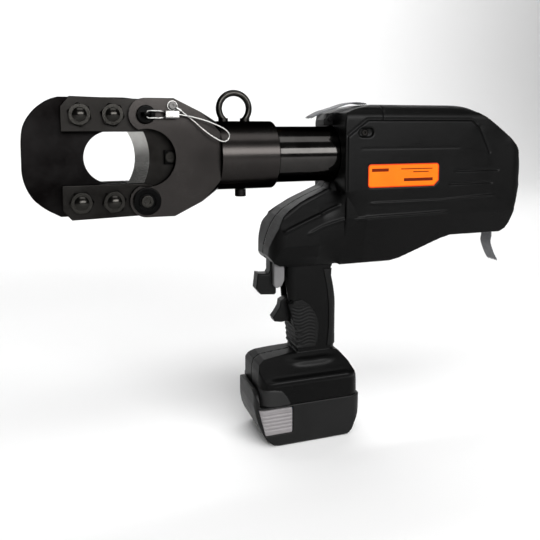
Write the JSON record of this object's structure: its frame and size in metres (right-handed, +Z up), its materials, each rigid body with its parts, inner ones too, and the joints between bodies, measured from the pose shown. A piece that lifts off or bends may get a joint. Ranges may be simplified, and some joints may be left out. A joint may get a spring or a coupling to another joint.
{
  "type": "cordless hydraulic cable cutter",
  "caption": "Cordless battery hydraulic cutter with a pinned guillotine head, swivelling barrel, lifting eye, pistol grip with two triggers and a slide-on battery.",
  "frame": {"origin": "centre of the battery's flat base, on the surface the tool stands on", "axes": "+Z up; -X towards the cutting head along the hydraulic axis; -Y is the side with the lanyard and the label"},
  "size_m": [0.5889, 0.0912, 0.4025],
  "materials": {
    "black_oxide_steel": "satin, oiled black oxide, worn bright at the edges",
    "black_painted_steel": "semi-gloss black paint",
    "rope_steel": "bright stranded wire",
    "zinc_steel": "satin zinc plate",
    "ground_steel": "ground and polished",
    "seal_rubber": "smooth",
    "trigger_plastic": "matte",
    "copper_steel": "windings and laminations",
    "battery_plastic": "fine texture",
    "cell_sleeve": "shrink sleeve",
    "button_plastic": "matte grey, ribbed",
    "gloss_black_steel": "gloss black lacquer",
    "alloy": "machined",
    "bladder_rubber": "smooth",
    "pcb_green": "lacquered board",
    "housing_plastic": "fine spark-eroded texture",
    "webbing": "grey woven webbing",
    "label_orange": "printed film, semi-gloss",
    "switch_plastic": "matte",
    "grey_plastic": "matte grey",
    "grip_rubber": "matte, finely ribbed",
    "contact_brass": "plated contacts"
  },
  "bodies": {
    "tool": {"cylinder_tube": "gloss_black_steel", "cylinder_gland": "ground_steel", "pump_block": "alloy", "pump_plungers": "ground_steel", "shaft_bearing": "ground_steel", "gear_plate": "alloy", "motor_can": "zinc_steel", "motor_stator": "copper_steel", "oil_reservoir": "bladder_rubber", "release_valve": "ground_steel", "control_board": "pcb_green", "housing_left": "housing_plastic", "housing_right": "housing_plastic", "housing_screws": "black_oxide_steel", "strap_block": "housing_plastic", "strap_front": "webbing", "strap_rear": "webbing", "label_plate": "label_orange", "trigger_pivots": "ground_steel", "trigger_switch": "switch_plastic", "trigger_shroud": "grey_plastic", "grip_rubber_rear": "grip_rubber", "grip_rubber_front": "grip_rubber", "terminal_block": "contact_brass"},
    "head": {"fixed_blade": "black_oxide_steel", "front_bar_top": "black_oxide_steel", "front_bar_bottom": "black_oxide_steel", "rear_bar_top": "black_oxide_steel", "rear_bar_bottom": "black_oxide_steel", "head_bolts": "black_oxide_steel", "head_nuts": "black_oxide_steel", "yoke_barrel": "black_painted_steel", "lifting_eye": "black_painted_steel", "hinge_pin": "black_oxide_steel", "lanyard_terminal": "rope_steel", "lanyard_screw": "zinc_steel", "lanyard_wire": "rope_steel", "stop_screw": "black_oxide_steel", "swivel_ring": "zinc_steel", "return_spring": "ground_steel"},
    "ram": {"moving_blade": "ground_steel", "blade_clamp": "black_oxide_steel", "blade_screw": "zinc_steel", "ram_rod": "ground_steel", "piston": "ground_steel", "piston_seal": "seal_rubber"},
    "latch": {"latch_pin": "black_oxide_steel", "lanyard_eye": "rope_steel", "lanyard_ferrule": "rope_steel"},
    "trigger_on": {"upper_trigger": "trigger_plastic"},
    "trigger_release": {"lower_trigger": "trigger_plastic"},
    "pump_drive": {"eccentric_shaft": "ground_steel", "drive_gear": "ground_steel"},
    "motor": {"motor_rotor": "copper_steel", "motor_pinion": "ground_steel"},
    "battery": {"battery_case_lower": "battery_plastic", "battery_case_upper": "battery_plastic", "battery_cells": "cell_sleeve"},
    "button_left": {"battery_button_left": "button_plastic"},
    "button_right": {"battery_button_right": "button_plastic"}
  },
  "joints": [
    {"name": "head_swivel", "type": "hinge", "parent": "tool", "child": "head", "pos_m": [-0.07, 0, 0.33], "axis": [1, 0, 0], "range_deg": [-160, 160]},
    {"name": "ram_slide", "type": "slide", "parent": "head", "child": "ram", "axis": [-1, 0, 0], "range_m": [0, 0.057], "stiffness_N_per_m": 2500, "springref_m": -0.02, "deforming": ["return_spring"]},
    {"name": "latch_pin_pull", "type": "slide", "parent": "head", "child": "latch", "axis": [0, -1, 0], "range_m": [0, 0.07], "deforming": ["lanyard_wire"]},
    {"name": "upper_trigger_pull", "type": "hinge", "parent": "tool", "child": "trigger_on", "pos_m": [-0.0348, 0, 0.214], "axis": [0, -1, 0], "range_deg": [0, 10], "stiffness_Nm_per_rad": 0.8, "springref_deg": -11.46},
    {"name": "lower_trigger_pull", "type": "hinge", "parent": "tool", "child": "trigger_release", "pos_m": [-0.0155, 0, 0.16], "axis": [0, -1, 0], "range_deg": [0, 10], "stiffness_Nm_per_rad": 0.8, "springref_deg": -11.46},
    {"name": "pump_spin", "type": "hinge", "parent": "tool", "child": "pump_drive", "pos_m": [0.1, 0, 0.33], "axis": [1, 0, 0], "continuous": true},
    {"name": "motor_spin", "type": "hinge", "parent": "tool", "child": "motor", "pos_m": [0.17, 0, 0.294], "axis": [1, 0, 0], "continuous": true},
    {"name": "battery_slide", "type": "slide", "parent": "tool", "child": "battery", "axis": [-1, 0, 0], "range_m": [0, 0.125]},
    {"name": "battery_button_left_press", "type": "slide", "parent": "battery", "child": "button_left", "axis": [0, 1, 0], "range_m": [0, 0.0018], "stiffness_N_per_m": 700, "springref_m": -0.003},
    {"name": "battery_button_right_press", "type": "slide", "parent": "battery", "child": "button_right", "axis": [0, -1, 0], "range_m": [0, 0.0018], "stiffness_N_per_m": 700, "springref_m": -0.003}
  ],
  "couplings": [
    {"joint": "motor_spin", "follows": "pump_spin", "ratio": -3}
  ]
}
